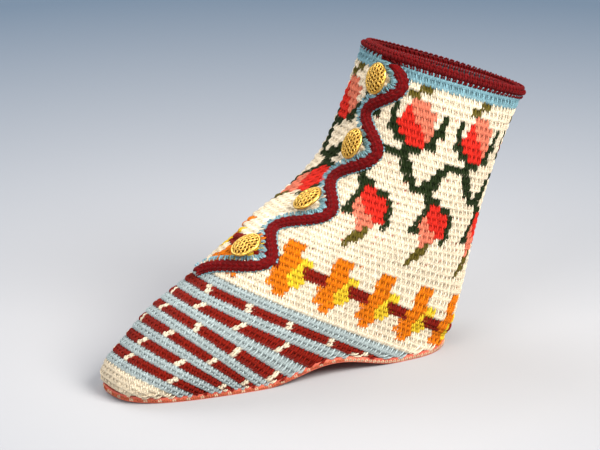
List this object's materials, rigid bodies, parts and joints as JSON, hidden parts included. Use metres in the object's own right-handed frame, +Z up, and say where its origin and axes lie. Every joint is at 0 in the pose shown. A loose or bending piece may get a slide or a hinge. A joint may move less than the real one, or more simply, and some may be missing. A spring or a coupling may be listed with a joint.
{
  "type": "bootie",
  "caption": "Toddler's crocheted ankle bootie on a thin leather sole, with a scalloped front flap, rolled collar edging and domed gilt buttons.",
  "frame": {"origin": "on the floor under the middle of the bootie's bounding box", "axes": "+Z up from the floor, toe toward -Y, outer (lateral) side of this left bootie toward +X"},
  "size_m": [0.0568, 0.17, 0.1122],
  "materials": {
    "crochet_cotton": "matte crocheted cream cotton with coloured pattern",
    "flap_cotton": "matte crocheted cream cotton with coloured pattern",
    "maroon_cotton": "matte crocheted maroon cotton",
    "coral_leather": "smooth, slightly worn",
    "lining_felt": "matte felt",
    "gilt_brass": "gilt, pierced dome with a polished rim"
  },
  "bodies": {
    "root": {"outsole": "coral_leather", "insole": "lining_felt", "upper": "crochet_cotton", "button_flap": "flap_cotton", "flap_edging": "maroon_cotton", "collar_edging_inner_back": "maroon_cotton", "collar_edging_inner_front": "maroon_cotton", "collar_edging_outer_front": "maroon_cotton", "collar_edging_outer_back": "maroon_cotton", "button_1": "gilt_brass", "button_2": "gilt_brass", "button_3": "gilt_brass", "button_4": "gilt_brass"}
  },
  "joints": []
}
